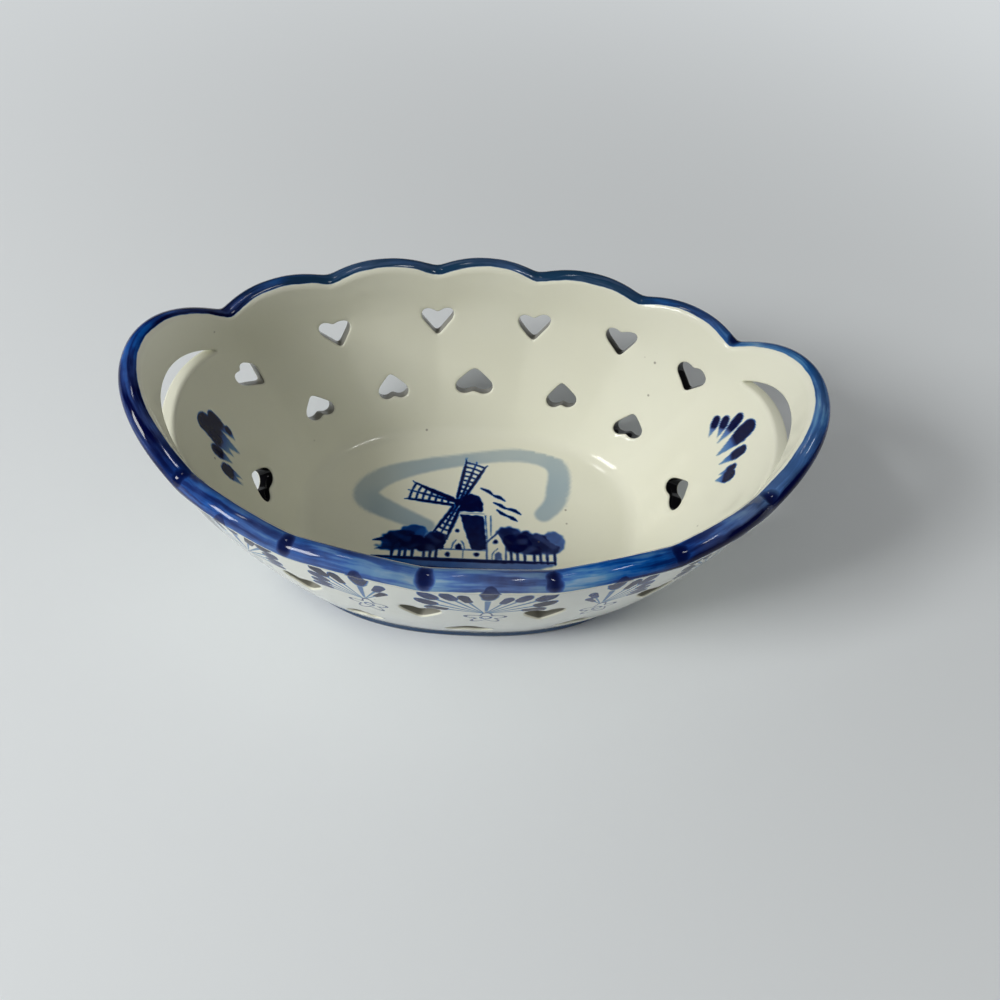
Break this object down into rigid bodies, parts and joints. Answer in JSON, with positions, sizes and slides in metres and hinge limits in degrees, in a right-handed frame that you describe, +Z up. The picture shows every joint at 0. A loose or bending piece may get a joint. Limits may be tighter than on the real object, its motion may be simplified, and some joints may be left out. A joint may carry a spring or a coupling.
{
  "type": "basket trinket dish",
  "caption": "Oval pierced basket dish with a scalloped beaded rim, heart piercings and ear handles, in blue and white glazed earthenware; holds trinkets.",
  "frame": {"origin": "on the table under the centre of the dish, on the plane that the foot ring rests on", "axes": "+X along the length through both ear handles, +Y to the back, +Z up out of the bowl"},
  "size_m": [0.1452, 0.0946, 0.055],
  "materials": {
    "white_glaze": "glossy clear glaze over a creamy white body",
    "cobalt_rim": "glossy glaze over brushed cobalt blue",
    "cobalt_foot": "glossy glaze over a slate blue band"
  },
  "bodies": {
    "root": {"foot_ring": "cobalt_foot", "floor": "white_glaze", "right_end_wall": "white_glaze", "back_wall": "white_glaze", "left_end_wall": "white_glaze", "front_wall": "white_glaze", "back_rim_lobe_1": "cobalt_rim", "back_rim_lobe_2": "cobalt_rim", "back_rim_lobe_3": "cobalt_rim", "back_rim_lobe_4": "cobalt_rim", "back_rim_lobe_5": "cobalt_rim", "front_rim_lobe_1": "cobalt_rim", "front_rim_lobe_2": "cobalt_rim", "front_rim_lobe_3": "cobalt_rim", "front_rim_lobe_4": "cobalt_rim", "front_rim_lobe_5": "cobalt_rim", "right_handle": "cobalt_rim", "left_handle": "cobalt_rim"}
  },
  "joints": []
}
